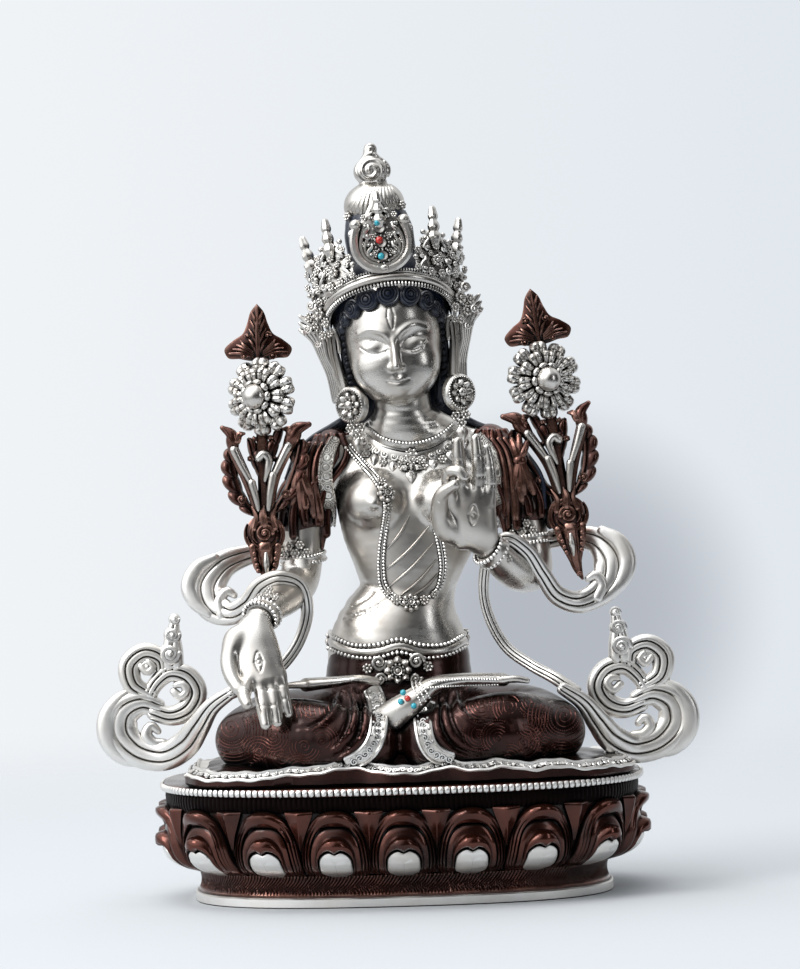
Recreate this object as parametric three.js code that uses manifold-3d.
import * as THREE from "three";
import { mergeVertices } from "three/addons/utils/BufferGeometryUtils.js";
import Module from "manifold-3d";

const wasm = await Module();
wasm.setup();

// A seated Tara of silvered and oxidised copper, on an oval lotus plinth.
// Millimetres, +Z up. The figure faces -Y, and the origin is under the middle of the plinth.

// Plinth sizes
const PLINTH_WIDTH = 212.6;
const PLINTH_DEPTH = 149;
const PLINTH_HEIGHT = 52.5;
const FOOT_WIDTH = 183.6;
const FOOT_DEPTH = 120;
const FOOT_HEIGHT = 4.4;
const FOOT_LEDGE = 1.4;
const DRUM_HEIGHT = 9.1;
const NECK_HEIGHT = 5.9;
const NECK_INSET = 2.4;
const RIM_HEIGHT = 3.2;
const RIM_ROUNDING = 1.1;
const PETAL_COUNT = 18;
const PETAL_WIDTH = 29.6;
const PETAL_PROUD = 5.3;
const BED_RISE = 0.36;
const BED_SWELL = 0.72;
const PLINTH_ROUNDNESS = 2.6;
const PLINTH_SIDES = 28;
const DRUM_WIDE = FOOT_WIDTH / 2 - FOOT_LEDGE;
const DRUM_DEEP = FOOT_DEPTH / 2 - FOOT_LEDGE;
const DRUM_TOP = FOOT_HEIGHT + DRUM_HEIGHT;
const NECK_WIDE = PLINTH_WIDTH / 2 - NECK_INSET;
const NECK_DEEP = PLINTH_DEPTH / 2 - NECK_INSET;
const RIM_FOOT = PLINTH_HEIGHT - RIM_HEIGHT;
const NECK_FOOT = RIM_FOOT - NECK_HEIGHT;
const PETAL_HEIGHT = NECK_FOOT - DRUM_TOP;

// Figure sizes. Its free form is drawn in modules, counted up from the plinth's top.
const FIGURE_HEIGHT = 277.5;
const MODULES_TALL = 277.5;
const MODULE = FIGURE_HEIGHT / MODULES_TALL;
const HEAD_TILT = THREE.MathUtils.degToRad(5.1);
const HEAD_PIVOT = new THREE.Vector3(4.9, 0, 159);

// The crown's band is a low arch round the brow, and its leaves rise to a boss at this share of their height.
const BAND_WIDE = 28.2;
const BAND_DEEP = 27;
const BAND_LOW = 203.5;
const BAND_ARCH = 14;
const BAND_END = 1.75;
const BOSS_HEIGHT = 0.36;

// Ear ornaments, as discs turned outward by this many radians
const EAR_DISC = { radius: 8.8, thickness: 3.4, sides: 11, turn: 0.66, height: 163.4 };

// The open flower on each spray: petals, and the radii of their tips and of the notches between them
const FLOWER = { petals: 9, tip: 15.6, notch: 13, turn: -0.5, height: 60.3 };

// What is fitted to something else stays this far off it.
const FIT_GAP = 0.3;
const GAP = FIT_GAP / MODULE;
const SEAT = PLINTH_HEIGHT + FIT_GAP;

// Edges shorter than this are slivers that carry no shape.
const SLIVER = 0.05;

// How a limb's rounded end closes, as shares of its last station.
const TIP_SCALE = 0.62;
const TIP_BULGE = 0.62;

const X = new THREE.Vector3(1, 0, 0);
const Y = new THREE.Vector3(0, 1, 0);
const Z = new THREE.Vector3(0, 0, 1);

const silver = new THREE.MeshStandardMaterial({ color: 0xc9c6c0, roughness: 0.3, metalness: 1 });
const copper = new THREE.MeshStandardMaterial({ color: 0x4a2218, roughness: 0.4, metalness: 1 });
const turquoise = new THREE.MeshStandardMaterial({ color: 0x2f9fb4, roughness: 0.35, metalness: 0 });
const coral = new THREE.MeshStandardMaterial({ color: 0xb3261c, roughness: 0.35, metalness: 0 });

// Closed skins and solids

// A closed skin over rings that all have the same number of points, with a fan over each end.
function skin(rings) {
  const count = rings[0].length;
  const points = rings.flat();
  const faces = [];
  for (let ring = 0; ring + 1 < rings.length; ring++) {
    for (let i = 0; i < count; i++) {
      const a = ring * count + i;
      const b = ring * count + ((i + 1) % count);
      faces.push(a, b, b + count, a, b + count, a + count);
    }
  }
  for (const ring of [0, rings.length - 1]) {
    const centre = new THREE.Vector3();
    rings[ring].forEach((point) => centre.add(point));
    points.push(centre.divideScalar(count));
    for (let i = 0; i < count; i++) {
      const a = ring * count + i;
      const b = ring * count + ((i + 1) % count);
      faces.push(...(ring === 0 ? [b, a] : [a, b]), points.length - 1);
    }
  }
  const geometry = new THREE.BufferGeometry().setFromPoints(points);
  geometry.setIndex(faces);
  return geometry;
}

// A limb through stations [x, y, z, half width, half depth], with its width along `across`.
// `tips` says which ends are rounded: 0 for neither, 1 for the last one, 2 for both.
function limb(stations, { sides = 6, across = X, tips = 1 } = {}) {
  const path = new THREE.CatmullRomCurve3(stations.map(([x, y, z]) => new THREE.Vector3(x, y, z)));
  const last = stations.length - 1;
  const ringAt = (k, scale, outward) => {
    const [, , , width, depth = width] = stations[k];
    const along = path.getTangent(k / last);
    const wide = across.clone().addScaledVector(along, -across.dot(along)).normalize();
    const deep = new THREE.Vector3().crossVectors(along, wide);
    const centre = path.getPoint(k / last).addScaledVector(along, outward * Math.min(width, depth));
    return Array.from({ length: sides }, (_, i) => {
      const angle = ((i + 0.5) / sides) * Math.PI * 2;
      return centre.clone()
        .addScaledVector(wide, scale * width * Math.cos(angle))
        .addScaledVector(deep, scale * depth * Math.sin(angle));
    });
  };
  const rings = stations.map((_, k) => ringAt(k, 1, 0));
  if (tips > 0) rings.push(ringAt(last, TIP_SCALE, TIP_BULGE));
  if (tips > 1) rings.unshift(ringAt(0, TIP_SCALE, -TIP_BULGE));
  return skin(rings);
}

// A ball or egg with its three half sizes, faceted sparingly.
function ball([x, y, z], [w, d, h], around = 6, up = 4) {
  return new THREE.SphereGeometry(1, around, up).rotateX(Math.PI / 2).scale(w, d, h).translate(x, y, z);
}

// A flat plate with its face to -Y, from an outline of [x, z] points.
function plate(outline, thickness) {
  const shape = new THREE.Shape(outline.map(([x, z]) => new THREE.Vector2(x, z)));
  const settings = { depth: thickness, bevelEnabled: false };
  return new THREE.ExtrudeGeometry(shape, settings).translate(0, 0, -thickness / 2).rotateX(Math.PI / 2);
}

// The outline of a leaf from its right half, top to bottom.
const mirrored = (half) => [...half, ...half.slice().reverse().map(([x, z]) => [-x, z])]
  .filter(([x, z], i, all) => i === 0 || x !== all[i - 1][0] || z !== all[i - 1][1]);

// A solid from a closed geometry, whichever way round its faces came.
function solidOf(geometry) {
  const bare = new THREE.BufferGeometry().setAttribute("position", geometry.getAttribute("position"));
  bare.setIndex(geometry.index);
  const merged = mergeVertices(bare, 1e-4);
  const vertProperties = new Float32Array(merged.attributes.position.array);
  const build = (triVerts) => new wasm.Manifold(new wasm.Mesh({ numProp: 3, vertProperties, triVerts }));
  const triangles = Uint32Array.from(merged.index.array);
  const solid = build(triangles);
  return solid.volume() > 0 ? solid : build(triangles.reverse());
}

// A solid without the slivers that cutting and joining leave.
const tidied = (solid) => solid.asOriginal().simplify(SLIVER);

const fuse = (geometries) => tidied(geometries.map(solidOf).reduce((whole, piece) => whole.add(piece)));

// What is left of a solid once its neighbour, and a gap all round it, are taken away.
function clearOf(solid, neighbour) {
  const ways = [X, Y, Z].flatMap((axis) => [axis, axis.clone().negate()]);
  const shifted = ways.map((way) => neighbour.translate(way.multiplyScalar(GAP).toArray()));
  return shifted.reduce((rest, cutter) => rest.subtract(cutter), solid);
}

function meshOf(name, solid, material) {
  const { vertProperties, triVerts } = solid.getMesh();
  const geometry = new THREE.BufferGeometry();
  geometry.setAttribute("position", new THREE.BufferAttribute(vertProperties, 3));
  geometry.setIndex(new THREE.BufferAttribute(triVerts, 1));
  const mesh = new THREE.Mesh(geometry, material);
  mesh.name = name;
  return mesh;
}

// A mesh whose solid is drawn in modules above the plinth.
function figureMesh(name, solid, material) {
  const mesh = meshOf(name, solid, material);
  mesh.geometry.scale(MODULE, MODULE, MODULE);
  mesh.position.z = SEAT;
  return mesh;
}

// From the head's own upright frame, centred on the neck, to the tilted head.
const HEAD_FRAME = new THREE.Matrix4()
  .makeTranslation(HEAD_PIVOT.x, 0, HEAD_PIVOT.z)
  .multiply(new THREE.Matrix4().makeRotationY(-HEAD_TILT))
  .multiply(new THREE.Matrix4().makeTranslation(0, 0, -HEAD_PIVOT.z));
const onHead = (geometries) => geometries.map((geometry) => geometry.applyMatrix4(HEAD_FRAME));

// Plinth

// A point on the plinth's rounded oval, and the way out from it.
function ovalPoint(halfWidth, halfDepth, angle) {
  const power = 2 / PLINTH_ROUNDNESS;
  const [c, s] = [Math.cos(angle), Math.sin(angle)];
  const x = halfWidth * Math.sign(c) * Math.abs(c) ** power;
  const y = halfDepth * Math.sign(s) * Math.abs(s) ** power;
  const slopeX = Math.sign(c) * Math.abs(x / halfWidth) ** (PLINTH_ROUNDNESS - 1) / halfWidth;
  const slopeY = Math.sign(s) * Math.abs(y / halfDepth) ** (PLINTH_ROUNDNESS - 1) / halfDepth;
  return { point: new THREE.Vector2(x, y), out: new THREE.Vector2(slopeX, slopeY).normalize() };
}

// Angles that space copies evenly around the oval, the first one in the middle of the front.
function evenAngles(halfWidth, halfDepth, count) {
  const fine = 2000;
  const angleOf = (i) => -Math.PI / 2 + (i / fine) * Math.PI * 2;
  const lengths = [0];
  for (let i = 1; i <= fine; i++) {
    const here = ovalPoint(halfWidth, halfDepth, angleOf(i)).point;
    lengths.push(lengths[i - 1] + here.distanceTo(ovalPoint(halfWidth, halfDepth, angleOf(i - 1)).point));
  }
  return Array.from({ length: count }, (_, k) =>
    angleOf(lengths.findIndex((length) => length >= (k / count) * lengths[fine])));
}

// The body behind the petals swells quickly from the drum, so that every petal lies on it.
function plinthBody() {
  const [rimWide, rimDeep] = [PLINTH_WIDTH / 2, PLINTH_DEPTH / 2];
  const [footWide, footDeep] = [FOOT_WIDTH / 2, FOOT_DEPTH / 2];
  const swollen = (drum, neck) => drum + BED_SWELL * (neck - drum);
  const bedTop = DRUM_TOP + BED_RISE * PETAL_HEIGHT;
  const profile = [
    [footWide, footDeep, 0],
    [footWide, footDeep, FOOT_HEIGHT],
    [DRUM_WIDE, DRUM_DEEP, FOOT_HEIGHT],
    [DRUM_WIDE, DRUM_DEEP, DRUM_TOP],
    [swollen(DRUM_WIDE, NECK_WIDE), swollen(DRUM_DEEP, NECK_DEEP), bedTop],
    [NECK_WIDE, NECK_DEEP, NECK_FOOT],
    [NECK_WIDE, NECK_DEEP, RIM_FOOT],
    [rimWide, rimDeep, RIM_FOOT + RIM_ROUNDING],
    [rimWide, rimDeep, PLINTH_HEIGHT - RIM_ROUNDING],
    [rimWide - RIM_ROUNDING, rimDeep - RIM_ROUNDING, PLINTH_HEIGHT],
  ];
  const angles = evenAngles(rimWide, rimDeep, PLINTH_SIDES);
  return skin(profile.map(([halfWidth, halfDepth, z]) => angles.map((angle) => {
    const { point } = ovalPoint(halfWidth, halfDepth, angle);
    return new THREE.Vector3(point.x, point.y, z);
  })));
}

// One lotus petal, rising from the drum and facing +X: a tongue with an inner lobe standing out of it.
// A station is [reach of the rim, reach of the lobe, height, half width, lobe's half width], all in shares.
function petal(reach) {
  const stations = [
    [0.04, 0.1, 0.02, 0.7, 0.36],
    [0.52, 0.8, 0.3, 0.96, 0.46],
    [0.68, 1, 0.54, 1, 0.42],
    [0.78, 0.78, 0.74, 0.86, 0.36],
    [0.98, 1, 0.93, 0.44, 0.2],
  ];
  const wide = PETAL_WIDTH / 2;
  return skin(stations.map(([rim, lobe, up, half, lobeHalf]) => [
    [rim - 0.3, 0],
    [rim - 0.14, half],
    [rim, lobeHalf * 1.3],
    [lobe, 0],
    [rim, -lobeHalf * 1.3],
    [rim - 0.14, -half],
  ].map(([out, across]) => new THREE.Vector3(out * reach, across * wide, up * PETAL_HEIGHT))));
}

// The ridged tip of a petal behind, between two petals in front.
function backTip(reach) {
  const tip = new THREE.ConeGeometry(0.24 * PETAL_WIDTH, 0.5 * PETAL_HEIGHT, 3);
  tip.rotateX(-Math.PI / 2).rotateZ(Math.PI / 2).scale(0.6, 1, 1);
  return tip.translate(0.68 * reach, 0, 0.74 * PETAL_HEIGHT);
}

function lotusPlinth() {
  const angles = evenAngles((DRUM_WIDE + NECK_WIDE) / 2, (DRUM_DEEP + NECK_DEEP) / 2, 2 * PETAL_COUNT);
  const petals = angles.map((angle, k) => {
    const { point, out } = ovalPoint(DRUM_WIDE, DRUM_DEEP, angle);
    const reach = ovalPoint(NECK_WIDE, NECK_DEEP, angle).point.distanceTo(point) + PETAL_PROUD;
    const place = new THREE.Matrix4().makeRotationZ(out.angle()).setPosition(point.x, point.y, DRUM_TOP);
    return (k % 2 === 0 ? petal(reach) : backTip(reach)).applyMatrix4(place);
  });
  return meshOf("lotus_plinth", fuse([plinthBody(), ...petals]), copper);
}

// Figure

function torso() {
  const trunk = [
    [0, 4, 12, 36, 30],
    [0, 3, 38, 33, 26],
    [0.2, 2, 54, 29.5, 21],
    [0.2, 2, 55.5, 31.8, 23.4],
    [0.4, 2, 61.5, 30.8, 22.6],
    [1.4, 1, 63.5, 26.8, 19.4],
    [5.4, -1, 80, 20.5, 15.5],
    [6, -1, 93, 25, 17],
    [7, 0, 107, 31.5, 18.5],
    [8.5, 2, 121, 35, 18],
    [9, 3, 134, 35, 15],
    [8.5, 3, 144, 26, 12],
    [6.4, 1, 152, 14, 11.5],
    [5.1, 0, 162, 12.6, 12.2],
    [4.8, -1, 172, 13, 13],
  ];
  return [
    limb(trunk, { sides: 11, tips: 0 }),
    ball([4.6, -9, 68], [17, 10.5, 14]),
    ball([-8, -12, 120], [13.5, 11, 13], 7, 4),
    ball([21, -12, 119], [13.5, 11, 13], 7, 4),
  ];
}

// An arm in a short sleeve, with its armlet, bracelet and open hand, and four fingers and a thumb.
const armAndHand = (arm, fingers) => [
  limb(arm, { sides: 7, tips: 0 }),
  ...fingers.map((finger) => limb(finger, { sides: 4 })),
];

// The hand that gives, hanging palm outward over the knee.
function loweredArm() {
  const sleeve = [
    [-30, 3, 138, 11.6, 11.6], [-37.3, 3, 124, 11, 11.6], [-39.4, 3, 111, 12.2, 12.4],
    [-39.7, 3, 109, 9.4, 9.6],
  ];
  const armlet = [
    [-40, 2.6, 102, 9.3, 9.5], [-40.1, 2.5, 101, 10.6, 10.8], [-40.5, 2, 96, 10.6, 10.8],
    [-40.7, 1.6, 94.5, 9.2, 9.3],
  ];
  const forearm = [[-42, -3, 85.5, 8.8, 9], [-48, -18, 80, 8.4, 8.2], [-56, -37, 74.6, 7.8, 6.8]];
  const bracelet = [[-56.6, -38.6, 74, 9, 7.8], [-59.4, -44.4, 71.8, 9.2, 7.2], [-60, -46, 70.8, 7.8, 5.4]];
  const hand = [[-60.8, -52, 61, 10.6, 5.4], [-58.9, -56.5, 51, 10.4, 5], [-57.1, -59.5, 44, 8.8, 3.6]];
  const fingers = [
    [[-63.3, -58, 46, 3], [-65.6, -66, 41.5, 3], [-64.6, -71, 38, 2.6]],
    [[-58.5, -58, 46, 3.1], [-57.9, -64.5, 36, 3.1], [-57, -68, 28.5, 2.6]],
    [[-54.2, -58, 46, 2.9], [-53, -63.5, 36, 2.9], [-51.9, -66, 29, 2.5]],
    [[-50.3, -58, 47, 2.6], [-48.8, -61.5, 38, 2.5], [-47.2, -62.5, 32, 2.1]],
    [[-65, -49, 67, 4], [-71.6, -54, 59, 3.8], [-71, -60, 50.5, 3.4], [-67.9, -66, 43, 3]],
  ];
  return armAndHand([...sleeve, ...armlet, ...forearm, ...bracelet, ...hand], fingers);
}

// The hand that teaches, raised before the breast with thumb and first finger joined.
function raisedArm() {
  const sleeve = [
    [45, 3, 138, 11.8, 11.6], [54.8, 3, 125, 11.2, 11.8], [57.4, 3, 114, 12.2, 12.4],
    [57.7, 3, 112, 9.8, 9.8],
  ];
  const armlet = [
    [58.4, 2.8, 107, 9.6, 9.6], [58.6, 2.6, 106, 10.8, 10.8], [59.3, 2, 101, 10.8, 10.8],
    [59.5, 1.8, 99.5, 9.4, 9.4],
  ];
  const forearm = [[60, -1, 86.5, 9, 9.2], [54.5, -13, 87, 8.6, 8.6], [43.6, -31.5, 95.4, 7.6, 7]];
  const bracelet = [[43, -32.4, 96, 8.8, 8], [40.2, -35.8, 98.4, 9.2, 7.2], [39.4, -36.6, 99.4, 7.8, 5.6]];
  const hand = [[34.8, -40.5, 108.5, 10.8, 5.6], [33.2, -42, 118, 11.2, 4.8], [35.2, -42, 124, 8.8, 3.6]];
  const fingers = [
    [[25.8, -42.5, 118, 3], [23.2, -47, 129, 2.8], [26, -52.5, 134, 2.6], [30, -54.5, 131, 2.2]],
    [[30.6, -42, 122, 2.9], [28.7, -45, 135, 2.9], [28.5, -46, 145, 2.4]],
    [[36.6, -42, 122, 2.9], [36.8, -44, 136, 2.8], [36.3, -44.5, 146.4, 2.4]],
    [[41.9, -42, 120, 2.5], [42.3, -43, 133, 2.4], [41, -42.5, 142, 2]],
    [[24, -40.5, 107, 4], [20, -46, 117, 3.6], [21.8, -51.5, 124, 3], [27.6, -54.5, 127.6, 2.4]],
  ];
  return armAndHand([...sleeve, ...armlet, ...forearm, ...bracelet, ...hand], fingers);
}

const onSide = (side, stations) => stations.map(([x, ...rest]) => [side * x, ...rest]);

// Crossed legs under the robe. `side` is -1 for the viewer's left knee and 1 for the right.
function leg(side) {
  const thigh = [
    [12, 10, 19, 24, 17], [38, -6, 21, 24, 17.5], [58, -21, 20, 21, 17], [65, -30, 18.5, 17, 15.5],
  ];
  const shin = [
    [65, -28, 18.5, 17, 16], [48, -44, 20, 16, 17], [29, -51, 19, 14.5, 15.5], [14, -53, 17, 11.5, 13],
  ];
  const cuff = [
    [12, -50, 35.5, 1.8, 3], [8.8, -59, 29, 1.8, 3.2], [9.6, -65, 19, 1.8, 3.2], [19.5, -65.5, 9, 1.8, 3],
  ];
  return [
    limb(onSide(side, thigh), { across: Y, sides: 8 }),
    limb(onSide(side, shin), { across: Y, sides: 8 }),
    limb(onSide(side, cuff), { sides: 4, across: Y, tips: 0 }),
  ];
}

// Both feet, laid sole up on the opposite thighs.
function feet() {
  const upper = [
    [-15, -50, 29, 7, 5.5], [-5, -53, 32, 6.2, 5.2], [6.7, -55, 35.9, 5.4, 4.6], [17.5, -50, 39.4, 5, 4],
    [34.8, -46, 41.2, 5.6, 3.6], [48, -45, 41.5, 5.6, 3], [54, -44.5, 41, 4, 2.4],
  ];
  const under = [
    [-6, -34, 37, 5.4, 4.6], [-28, -31, 39.2, 5, 4.2], [-40, -31, 39.6, 5, 3.6], [-47.5, -31, 39.5, 4, 3],
  ];
  return [limb(upper, { across: Y }), limb(under, { across: Y })];
}

// The robe's wavy edge, spread over the plinth, and its fall between the shins.
function hem() {
  const count = 24;
  const ring = (z, scale) => Array.from({ length: count }, (_, i) => {
    const angle = (i / count) * Math.PI * 2;
    const wave = scale * (1 + 0.022 * Math.cos(9 * angle + 0.6));
    const { point } = ovalPoint(95 * wave, 56 * wave, angle);
    return new THREE.Vector3(3 + point.x, -12 + point.y, z);
  });
  const fall = [[0.5, -36, 33, 9, 6], [0.5, -55, 26, 8, 5], [0.5, -61, 15, 8, 4], [0.5, -64, 6, 11, 3]];
  return [skin([ring(-1, 0.985), ring(4.5, 1), ring(7, 0.96), ring(13, 0.7)]), limb(fall)];
}

// The collar with its pendant, and the rosette that hangs from the girdle.
function jewels() {
  const collar = [
    [-13, 4, 150, 2.8], [-9, -8, 146.5, 2.8], [0, -14.5, 141.5, 3], [8.5, -17, 139, 3.2],
    [17, -14.5, 142, 3], [26, -8, 147.5, 2.8], [30, 4, 151, 2.8],
  ];
  const pendant = ball([8.5, -18.5, 133], [4.2, 3, 4.8]);
  const rosette = ball([-0.2, -24, 48], [10, 4.6, 6.4]);
  return [limb(collar, { sides: 4, tips: 0 }), pendant, rosette];
}

// The head, in its own upright frame: hair drawn up into a knot under a crest and a jewel.
function head() {
  const skull = [
    [0, -8, 163.5, 10, 9], [0, -6, 168, 14.5, 14], [0, -4, 176, 18.8, 18.6], [0, -2, 186, 21.1, 21.4],
    [0, 0, 197, 21.4, 23.4], [0, 1, 207, 19.8, 22.6],
  ];
  const nose = [[0, -22.4, 196, 1.5, 1.4], [0, -23.6, 188, 1.9, 2.2], [0, -24.6, 181.5, 2.9, 2.6]];
  const hair = [
    [0, 4, 193, 22.4, 21.5], [0, 3, 204, 22.6, 24.6], [0, 2.4, 214, 20, 22.4], [-0.3, 2, 221, 14.6, 16],
    [-0.6, 1, 231, 15.4, 15.4], [-1, 0.5, 243, 14.2, 14.2], [-1.4, 0, 252, 12.8, 12.8],
    [-1.4, 0, 260, 6, 6], [-1.4, 0, 266, 8.4, 7.8], [-1, 0, 271.5, 3.6, 3.6], [-0.3, 0, 275.9, 2.7, 2.7],
  ];
  const locks = [[0, 15, 212, 18, 11], [0, 17, 190, 21.5, 11], [0, 15, 162, 25, 8], [0, 16, 147, 30, 6.5]];
  const ear = [[21, 1, 193, 2.4, 4.5], [22.4, 1, 182, 2.2, 4.2], [22.6, 0, 170, 2, 3]];
  return onHead([
    limb(skull, { sides: 10, tips: 2 }),
    limb(nose, { sides: 4, tips: 2 }),
    limb(hair, { sides: 9 }),
    limb(locks),
    limb(onSide(-1, ear), { sides: 4 }),
    limb(ear, { sides: 4 }),
  ]);
}

// Everything below the plinth's top is cut off flat, so that the figure sits down level.
function seated(solid) {
  const below = new THREE.BoxGeometry(2 * PLINTH_WIDTH, 2 * PLINTH_DEPTH, PLINTH_HEIGHT);
  below.translate(0, 0, -PLINTH_HEIGHT / 2);
  return tidied(solid.subtract(solidOf(below)));
}

const figure = seated(fuse([
  ...torso(), ...loweredArm(), ...raisedArm(), ...leg(-1), ...leg(1), ...feet(), ...hem(), ...jewels(),
  ...head(),
]));

// Crown, ear ornaments and stones

// Where the crown's band runs: a low arch, `turn` radians round from the front.
const bandPoint = (turn) => new THREE.Vector3(
  BAND_WIDE * Math.sin(turn), -BAND_DEEP * Math.cos(turn), BAND_LOW + BAND_ARCH * Math.cos(turn));

// A crown leaf that stands on the band, rising to a boss in its middle.
// Its outline is in shares of half its width and its height.
function crownLeaf(turn, width, height, lean, splay) {
  const half = [[0, 1], [0.42, 0.72], [0.66, 0.48], [0.96, 0.26], [0.8, -0.06]];
  const outline = mirrored(half);
  const ring = (scale, forward) => outline.map(([x, z]) =>
    new THREE.Vector3(scale * x * width / 2, -forward, height * (BOSS_HEIGHT + scale * (z - BOSS_HEIGHT))));
  return skin([ring(1, -1.4), ring(1, 0.8), ring(0.4, 2.6)])
    .rotateX(-lean)
    .rotateY(splay)
    .rotateZ(turn)
    .translate(...bandPoint(turn).addScaledVector(Z, 2.6).toArray());
}

function crownSolid() {
  const steps = 6;
  const band = Array.from({ length: steps + 1 }, (_, k) =>
    [...bandPoint((2 * k / steps - 1) * BAND_END).toArray(), 3.4, 2]);
  const leaves = [
    crownLeaf(0, 28, 35, 0.06, 0),
    ...[-1, 1].map((side) => crownLeaf(0.82 * side, 23, 30, 0.2, 0.1 * side)),
    ...[-1, 1].map((side) => crownLeaf(1.5 * side, 18, 32, 0.3, 0.05 * side)),
  ];
  const lappet = [
    [33.5, 2, BAND_LOW + 3.5, 2.6, 6.5],
    [33.5, 1, BAND_LOW - 8.5, 2.4, 5.6],
    [29.5, -1, EAR_DISC.height + 18.6, 2.2, 3.4],
    [27, -2, EAR_DISC.height + 9.6, 1.8, 2],
  ];
  const sides = [-1, 1].flatMap((side) => [
    limb(onSide(side, lappet), { sides: 5, across: Y }),
    ball([side * 31, -3, 204], [4.4, 4, 4.4], 6, 3),
  ]);
  return clearOf(fuse(onHead([limb(band, { sides: 5, across: Z }), ...leaves, ...sides])), figure);
}

// A disc at the ear, turned outward, with a drop below it.
function earOrnament(side) {
  const { radius, thickness, sides, turn, height } = EAR_DISC;
  const disc = new THREE.CylinderGeometry(radius, radius, thickness, sides).rotateZ(side * turn);
  disc.translate(side * 24.6, -8, height);
  const boss = ball([side * 25.8, -10, height], [3, 3, 3], 5, 3);
  const drop = [
    [side * 25.6, -7, height - 7.4, 2.4, 2],
    [side * 26, -7.5, height - 12.4, 3.2, 2.4],
    [side * 26.2, -7.5, height - 16, 2.2, 1.8],
  ];
  return clearOf(clearOf(fuse(onHead([disc, boss, limb(drop, { sides: 4 })])), figure), crown);
}

const crown = crownSolid();

// A polished stone, standing in a setting on the crown or the anklet.
const stone = (centre, size, settings) => settings.reduce(clearOf, solidOf(ball(centre, size, 6, 3)));

// Flower sprays

// An upright spray, drawn on its knot as [inward, forward, up], then leaned and set in place.
function spray({ side, knot, lean, tail, leafTurn }) {
  const stem = [[0, 0, 4, 3.2], [0, 1, 28, 2.4], [0, 3, 52, 3]];
  const branches = [
    [[-1.4, 0, 6, 2.8], [-6, 1, 24, 2.6], [-13, 3, 38, 3], [-17, 5, 48, 3.8, 2.6]],
    [[1.4, 0, 6, 2.8], [5.5, 0, 26, 2.6], [12, 1, 37, 3], [20, 2, 46.5, 4.2, 2.6]],
  ];
  const leaves = [
    [[-5, 1, 8, 2.6, 1.8], [-13, 2, 20, 4.6, 1.8], [-17, 4, 38, 3, 1.6]],
    [[5, 1, 10, 2.6, 1.8], [13, 2, 22, 4.2, 1.8], [18, 2, 39, 2.6, 1.6]],
  ];
  const pendant = [[0, 0, -5, 5.4, 4.4], [0, 0, -11, 4.6, 3.8], [-1, 0, -tail, 2.2, 2.2]];
  const rounds = [[0.5, 2.6], [1, 1.4], [0.72, -2.6], [0.41, -3.2], [0.3, -7.6]];
  const flower = skin(rounds.map(([share, y]) => Array.from({ length: 2 * FLOWER.petals }, (_, k) => {
    const angle = ((k + 1) / (2 * FLOWER.petals)) * Math.PI * 2;
    const radius = share * (k % 2 ? FLOWER.tip : FLOWER.notch);
    return new THREE.Vector3(radius * Math.cos(angle), y, radius * Math.sin(angle));
  }))).rotateZ(FLOWER.turn).translate(-0.5, 1, FLOWER.height);
  const half = [[0, 24.5], [5, 15], [7, 11.4], [12.5, 9], [9.5, 3.2], [3.5, -1.5]];
  const palmette = plate(mirrored(half), 5).rotateY(side * leafTurn).translate(-0.6, 2, 73);
  const pieces = [
    ball([0, -1, 0], [8.6, 6.4, 8.6], 8, 4),
    limb(stem, { sides: 5, tips: 0 }),
    ...[...branches, ...leaves].map((stations) => limb(stations, { sides: 4 })),
    limb(pendant, { sides: 5 }),
    flower,
    palmette,
  ];
  const place = new THREE.Matrix4().makeRotationY(-lean).setPosition(...knot);
  return fuse(pieces.map((piece) => piece.scale(-side, 1, 1).applyMatrix4(place)));
}

// Scarves

// A ribbon with its broad face forward, square in section.
// Its stations are [x, y, z, half depth, half width].
function ribbon(stations) {
  const corner = Math.SQRT2;
  const outer = stations.map(([x, y, z, ...girth]) => [x, y, z, ...girth.map((half) => 0.9 * corner * half)]);
  return limb(outer, { sides: 4, across: Y, tips: 0 });
}

// The cloud-like scroll that each scarf ends in, beside the knee.
function scroll(side, dx, dz) {
  const strands = [
    [
      [72, -30, 39.5, 2, 2.8], [81, -26, 33, 2.2, 3.6], [87.5, -20, 24, 2.4, 4.4], [94, -13, 15, 2.6, 4.8],
      [106, -6, 9.8, 2.8, 5], [118, -4, 13.5, 2.8, 6.4], [126.6, -3, 22, 2.8, 8.4], [125, -3, 30, 2.8, 7],
      [115.5, -3, 34.4, 2.6, 5], [106, -3, 33, 2.4, 4],
    ],
    [[104, -5, 12.5, 2.2, 3.2], [109, -4, 16, 2.4, 3], [110.6, -4, 19.8, 2.4, 2.6]],
    [
      [107, -3, 32, 2.6, 4], [99.5, -3, 29.6, 2.8, 3.4], [92.4, -3, 32, 2.8, 3.6], [89.8, -3, 38, 2.8, 3.8],
      [93.4, -3, 44.4, 2.8, 3.8], [100, -3, 46, 2.8, 3.6], [105.5, -3, 42.5, 2.6, 3.4],
      [109.5, -3, 37, 2.4, 3.2],
    ],
    [
      [109, -3, 38, 2.4, 3.4], [115.6, -3, 43.5, 2.6, 3.8], [115.6, -3, 50.6, 2.6, 3.8],
      [109.4, -3, 54, 2.6, 3.8], [103.4, -3, 51, 2.6, 3.4],
    ],
    [[99, -3, 49, 3, 5], [98.6, -3, 57.5, 3.4, 4.6], [98.2, -3, 63.8, 2.8, 3.2]],
  ];
  const placed = ([x, y, z, ...girth]) => [side * (x + dx), y, z + dz, ...girth];
  return strands.map((stations) => ribbon(stations.map(placed)));
}

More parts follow.
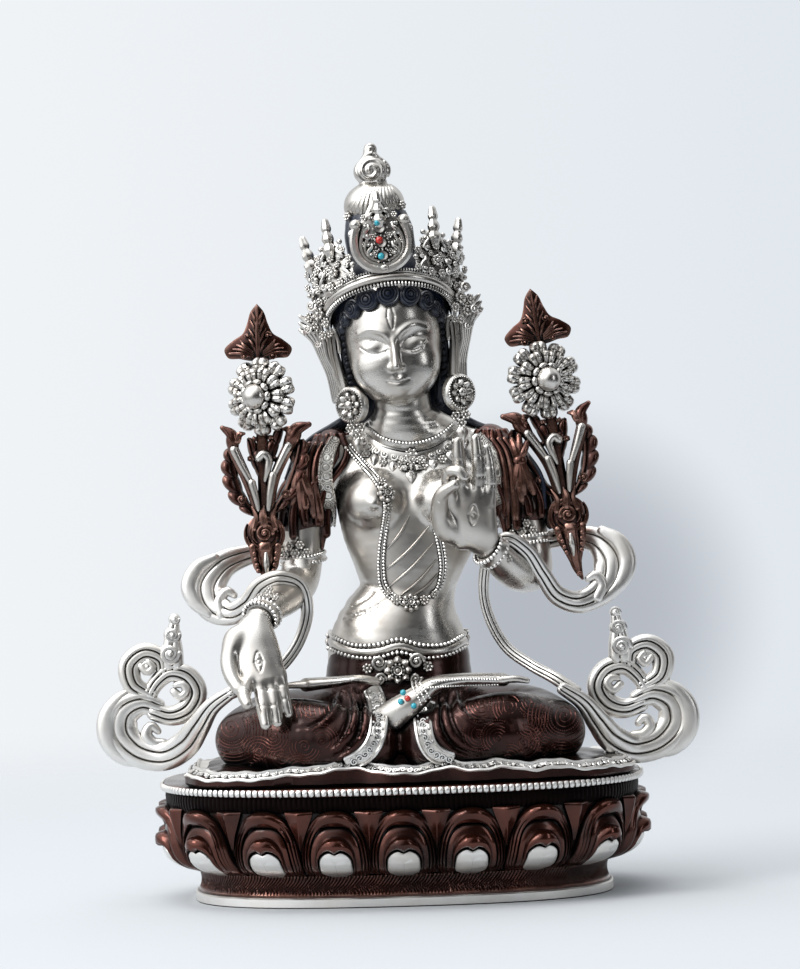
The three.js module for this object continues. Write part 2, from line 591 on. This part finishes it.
function givingScarf() {
  const loop = [
    [-50, 10, 99, 2, 4], [-65, 5, 97.5, 2.2, 4.2], [-79, 0, 92.6, 2.3, 5.4], [-87, -3, 82.5, 2.4, 6.6],
    [-82.6, -5, 74.4, 2.4, 6], [-74, -8, 71.8, 2.4, 4.8], [-65.5, -14, 76.4, 2.3, 4],
    [-58.5, -21, 85, 2, 3.8], [-51, -25, 88, 1.8, 3.4], [-42, -21, 85, 1.8, 3], [-39, -17, 74, 1.8, 2.8],
    [-42, -18, 62, 1.8, 2.6], [-50, -22, 50.5, 1.8, 2.6], [-60, -27, 43.5, 1.8, 2.6], [-73, -30, 39, 2, 2.8],
  ];
  const curl = [[-75.5, -6, 73, 2.2, 2.4], [-77, -5, 79.5, 2.2, 2.2], [-74.2, -5, 82.6, 2.2, 2]];
  return fuse([ribbon(loop), ribbon(curl), ...scroll(-1, 0.6, 0)]);
}

function teachingScarf() {
  const loop = [
    [66, 9, 100, 2, 4], [80, 5, 101.5, 2.2, 4.2], [90, 1, 100, 2.3, 5], [98, -2, 92, 2.4, 7],
    [98, -4, 82.6, 2.4, 6.6], [90, -6, 75, 2.4, 5], [80, -8, 72.4, 2.4, 4.6], [71, -12, 76, 2.3, 4],
    [64, -17, 86, 2, 3.6], [57, -22, 97, 1.9, 3.4], [48.5, -26, 102.4, 1.8, 3], [42.5, -20, 98.5, 1.8, 2.6],
    [39, -14, 88, 1.8, 2.4], [38.4, -12, 77, 1.8, 2.3], [41.5, -12, 65, 1.8, 2.4], [48, -13, 54, 1.8, 2.5],
    [58, -17, 46.5, 1.8, 2.6], [68, -25, 41, 2, 2.8], [77, -27, 34.6, 2, 3],
  ];
  const curl = [[88, -6, 75.5, 2.2, 2.4], [90, -5, 81.5, 2.2, 2.2], [87, -5, 84.4, 2.2, 2]];
  return fuse([ribbon(loop), ribbon(curl), ...scroll(1, -1.2, -2.6)]);
}

const sprays = {
  giving: clearOf(spray({ side: -1, knot: [-56.6, -12, 107], lean: 0, tail: 20.4, leafTurn: -0.1 }), figure),
  teaching: clearOf(spray({ side: 1, knot: [76.3, -6, 111.2], lean: 0.142, tail: 29, leafTurn: 0.1 }), figure),
};
const scarves = {
  giving: clearOf(clearOf(givingScarf(), figure), sprays.giving),
  teaching: clearOf(clearOf(teachingScarf(), figure), sprays.teaching),
};

// Stones: three down the front leaf of the crown, and a flower of four on the anklet.
const onCrown = (z) => new THREE.Vector3(-1, -29.6, z).applyMatrix4(HEAD_FRAME).toArray();
const crownStones = [
  ["crown_stone_upper", turquoise, 242],
  ["crown_stone_middle", coral, 234],
  ["crown_stone_lower", turquoise, 226.5],
].map(([name, material, z]) => figureMesh(name, stone(onCrown(z), [2.2, 2, 2.4], [crown]), material));
const ankletStones = [
  ["anklet_stone_top", turquoise, [1.8, -60.4, 39]],
  ["anklet_stone_left", turquoise, [0.6, -60.4, 35.2]],
  ["anklet_stone_right", turquoise, [6.2, -60.6, 33.2]],
  ["anklet_stone_middle", coral, [3.6, -61, 36.5]],
].map(([name, material, centre]) => figureMesh(name, stone(centre, [1.3, 1.3, 1.3], [figure]), material));

const group = new THREE.Group();
group.add(
  lotusPlinth(),
  figureMesh("seated_figure", figure, silver),
  figureMesh("crown", crown, silver),
  figureMesh("ear_ornament_left", earOrnament(-1), silver),
  figureMesh("ear_ornament_right", earOrnament(1), silver),
  figureMesh("flower_spray_left", sprays.giving, copper),
  figureMesh("flower_spray_right", sprays.teaching, copper),
  figureMesh("scarf_left", scarves.giving, silver),
  figureMesh("scarf_right", scarves.teaching, silver),
  ...crownStones,
  ...ankletStones,
);

export default group;
